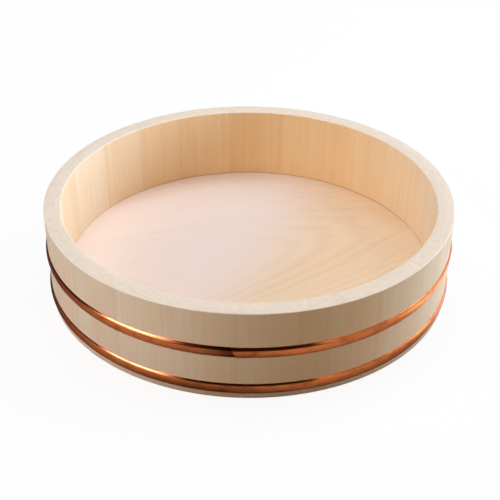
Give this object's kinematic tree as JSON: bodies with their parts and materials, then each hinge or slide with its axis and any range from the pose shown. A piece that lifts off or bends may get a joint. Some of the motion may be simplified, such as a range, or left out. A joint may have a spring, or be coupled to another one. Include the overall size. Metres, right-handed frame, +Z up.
{
  "type": "sushi rice tub",
  "caption": "Low, round, open wooden tub of upright staves bound by copper hoops, with a raised base board, for cooling and seasoning sushi rice.",
  "frame": {"origin": "middle of the foot, on the surface that the tub stands on", "axes": "+Z up, from the foot to the rim; -Y towards the viewer of the picture, where the lapped seam of the upper hoop shows; +X to the viewer's right"},
  "size_m": [0.3927, 0.3933, 0.09],
  "materials": {
    "stave_wood": "planed bare softwood with fine upright grain",
    "base_wood": "planed bare softwood with soft arched grain",
    "copper": "satin copper, lightly tarnished in streaks",
    "bamboo": "bare split bamboo"
  },
  "bodies": {
    "root": {"stave_01": "stave_wood", "stave_02": "stave_wood", "stave_03": "stave_wood", "stave_04": "stave_wood", "stave_05": "stave_wood", "stave_06": "stave_wood", "stave_07": "stave_wood", "stave_08": "stave_wood", "stave_09": "stave_wood", "stave_10": "stave_wood", "stave_11": "stave_wood", "stave_12": "stave_wood", "stave_13": "stave_wood", "stave_14": "stave_wood", "stave_15": "stave_wood", "stave_16": "stave_wood", "stave_17": "stave_wood", "stave_18": "stave_wood", "stave_19": "stave_wood", "stave_20": "stave_wood", "stave_21": "stave_wood", "base_plank_1": "base_wood", "base_plank_2": "base_wood", "base_plank_3": "base_wood", "base_plank_4": "base_wood", "upper_hoop": "copper", "lower_hoop": "copper", "stave_pins": "bamboo", "base_dowels": "bamboo"}
  },
  "joints": []
}
